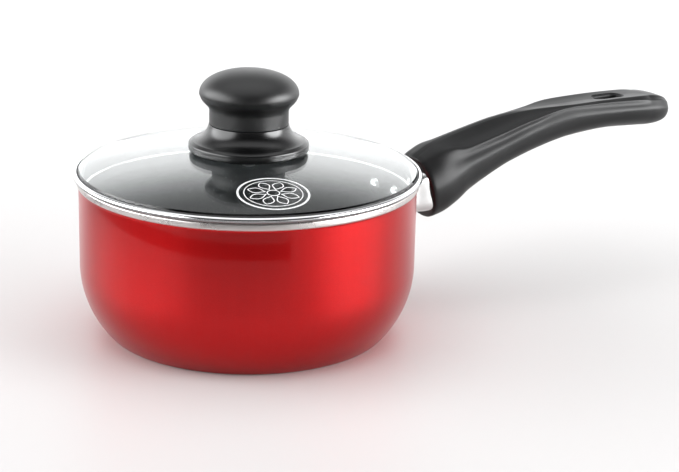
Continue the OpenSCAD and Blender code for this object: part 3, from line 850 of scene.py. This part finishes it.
# The floor is coloured darker near the pan than far off: painted shade round the pan.
FLOOR_NEAR_SHADED = (0.490, 0.480, 0.478, 1)
FLOOR_FAR = (0.68, 0.68, 0.68, 1)
BACK_LIGHT, FRONT_LIGHT, TOP_LIGHT = 2.0, 0.10, 1.2
LEFT_LIGHT, RIGHT_LIGHT = 6.0, 15.0
OVERHEAD_POWER, OVERHEAD_SIZE = 10.0, 1.5


def around(azimuth, elevation, distance, centre_z=0.0):
    """A point in millimetres, seen from the pan: azimuth is counted from the camera's side to its right."""
    a = math.radians(VIEW_AZIMUTH + azimuth)
    e = math.radians(elevation)
    return Vector((math.sin(a) * math.cos(e), -math.cos(a) * math.cos(e), math.sin(e))) * distance \
        + Vector((0, 0, centre_z))


def camera():
    """The camera of the main view, turned and rolled a little off the pan's axis."""
    data = bpy.data.cameras.new("camera")
    data.sensor_width = SENSOR
    data.lens = FOCAL
    data.clip_start, data.clip_end = 0.05, 50
    cam = bpy.data.objects.new("camera", data)
    bpy.context.scene.collection.objects.link(cam)
    a = math.radians(-VIEW_AZIMUTH + VIEW_PAN)
    e = math.radians(VIEW_ELEVATION)
    ahead = Vector((math.sin(a) * math.cos(e), math.cos(a) * math.cos(e), -math.sin(e)))
    right = ahead.cross(Vector((0, 0, 1))).normalized()
    up = right.cross(ahead)
    roll = math.radians(VIEW_ROLL)
    tilted_right = right * math.cos(roll) + up * math.sin(roll)
    tilted_up = up * math.cos(roll) - right * math.sin(roll)
    pose = Matrix((tilted_right, tilted_up, -ahead)).transposed().to_4x4()
    pose.translation = around(0, VIEW_ELEVATION, VIEW_DISTANCE, VIEW_CENTRE_Z) * MM
    cam.matrix_world = pose
    bpy.context.scene.camera = cam


def floor():
    """Plain pale floor, its colour a little brighter away from the pan: painted shade near the pan."""
    radii = (6000.0, 2500.0, 1000.0, 400.0, 150.0, 0.0)
    ground = lathe("studio_floor", [[(r, -0.02) for r in radii]], turns=96)
    m = Material("pale_floor", Specular_IOR_Level=0.3)
    cloud = m.noise(3.0, 2.0)
    near = m.mix(m.ramp(cloud, 0.3, 0.7, 0.0, 1.0), FLOOR_NEAR_SHADED, tuple(1.03 * c for c in FLOOR_NEAR_SHADED))
    # Darker colour near the pan, lighter further off: painted shade round the pan.
    m.set(m.shader, "Base Color", m.mix(m.ramp(m.axis_distance(), 0.15, 1.0, 0.0, 1.0), near, FLOOR_FAR))
    m.set(m.shader, "Roughness", m.ramp(cloud, 0.3, 0.7, 0.42, 0.50))
    ground.data.materials.append(m.material)


def flags():
    """A strip and a wide sheet of black cloth on the floor before the pan. Only reflections show them: a dark
    line in the lacquer and a dark front on the knob."""
    left, right, steps = -122, 24, 48
    cloth_z = 0.6
    m = Material("black_cloth", Specular_IOR_Level=0.2)
    weave = m.noise(300.0, 2.0)
    m.set(m.shader, "Base Color", m.mix(weave, (0.02, 0.02, 0.02, 1), (0.04, 0.04, 0.04, 1)))
    m.set(m.shader, "Roughness", m.ramp(weave, 0.3, 0.7, 0.8, 0.95))
    for name, near, far, spread in (("studio_strip", 259.0, 291.0, 34.0),
                                    ("studio_cloth", 338.0, 900.0, 0.0)):
        points, faces = [], []
        for k in range(steps + 1):
            azimuth = left + (right - left) * k / steps
            out = spread * max(0.0, azimuth / left) ** 2
            for r in (near + out, far + out):
                p = around(azimuth, 0, r)
                points.append((p.x, p.y, cloth_z))
            if k:
                faces.append([2 * k - 2, 2 * k - 1, 2 * k + 1, 2 * k])
        cloth = mesh_object(name, points, faces)
        cloth.data.materials.append(m.material)
        cloth.visible_camera = cloth.visible_diffuse = cloth.visible_shadow = False
        cloth.visible_transmission = False


class Sky:
    """The world's light as a function of direction."""

    def __init__(self):
        world = bpy.data.worlds.new("studio")
        bpy.context.scene.world = world
        world.use_nodes = True
        self.tree = world.node_tree
        self.back = self.tree.nodes["Background"]
        self.way = self.tree.nodes.new("ShaderNodeTexCoord").outputs["Generated"]
        parts = self.tree.nodes.new("ShaderNodeSeparateXYZ")
        self.tree.links.new(self.way, parts.inputs[0])
        self.height = parts.outputs[2]

    def ramp(self, value, low, high, out_low, out_high):
        made = self.tree.nodes.new("ShaderNodeMapRange")
        made.interpolation_type = "SMOOTHSTEP"
        self.tree.links.new(value, made.inputs["Value"])
        sockets = ("From Min", "From Max", "To Min", "To Max")
        for socket, number in zip(sockets, (low, high, out_low, out_high)):
            made.inputs[socket].default_value = number
        return made.outputs[0]

    def toward(self, azimuth):
        """The cosine between a direction and the horizontal at one azimuth."""
        made = self.tree.nodes.new("ShaderNodeVectorMath")
        made.operation = "DOT_PRODUCT"
        self.tree.links.new(self.way, made.inputs[0])
        made.inputs[1].default_value = around(azimuth, 0, 1.0)
        return made.outputs["Value"]

    def both(self, a, b, operation="MULTIPLY"):
        made = self.tree.nodes.new("ShaderNodeMath")
        made.operation = operation
        self.tree.links.new(a, made.inputs[0])
        self.tree.links.new(b, made.inputs[1])
        return made.outputs[0]

    def panel(self, azimuth, spread, fade, top, level):
        """A soft-edged panel standing on the floor: its half width, fade and top are angles."""
        across = self.ramp(self.toward(azimuth), math.cos(math.radians(spread + fade)),
                           math.cos(math.radians(spread)), 0.0, level)
        return self.both(across, self.ramp(self.height, math.sin(math.radians(top)),
                                           math.sin(math.radians(top + 10)), 1.0, 0.0))


def sky():
    """White room: a bright low backdrop, a panel at each side, a weak top light and a dark camera side."""
    s = Sky()
    backdrop = s.both(s.ramp(s.toward(0), -0.35, 0.30, BACK_LIGHT, FRONT_LIGHT),
                      s.ramp(s.height, 0.32, 0.62, 1.0, 0.20))
    level = s.both(backdrop, s.ramp(s.height, 0.68, 0.93, 0.0, TOP_LIGHT), "ADD")
    level = s.both(level, s.panel(-80, 34, 14, 38, LEFT_LIGHT), "ADD")
    level = s.both(level, s.panel(75, 20, 12, 28, RIGHT_LIGHT), "ADD")
    s.tree.links.new(level, s.back.inputs["Strength"])
    s.back.inputs["Color"].default_value = (0.985, 0.993, 1.0, 1)


def overhead():
    """A broad lamp above the pan, which reflections don't show."""
    data = bpy.data.lights.new("overhead", "AREA")
    data.energy, data.size = OVERHEAD_POWER, OVERHEAD_SIZE
    lamp = bpy.data.objects.new("overhead", data)
    bpy.context.scene.collection.objects.link(lamp)
    lamp.location = (0.05, 0.0, 1.3)
    lamp.visible_glossy = lamp.visible_camera = False


def studio():
    """Camera, floor and light."""
    camera()
    floor()
    flags()
    sky()
    overhead()
    bpy.context.scene.view_settings.view_transform = "Standard"


# ---------- the whole ----------

pan()
flame_guard()
handle()
glass()
rim_band()
knob()
print_on_glass()

for node, material in {
    "handle_bracket": SHEET_STEEL, "bracket_rivets": RIVET_METAL, "bracket_nut": PLATED,
    "handle_screw": PLATED, "handle_lock_washer": PLATED, "handle_flat_washer": PLATED,
    "knob_insert": BRASS, "knob_gasket": SEAL, "glass_bush": SEAL, "lid_seal_washer": SEAL,
    "knob_cup_washer": SHEET_STEEL, "knob_lock_washer": PLATED, "knob_screw": PLATED,
}.items():
    repaint(node, material)

studio()
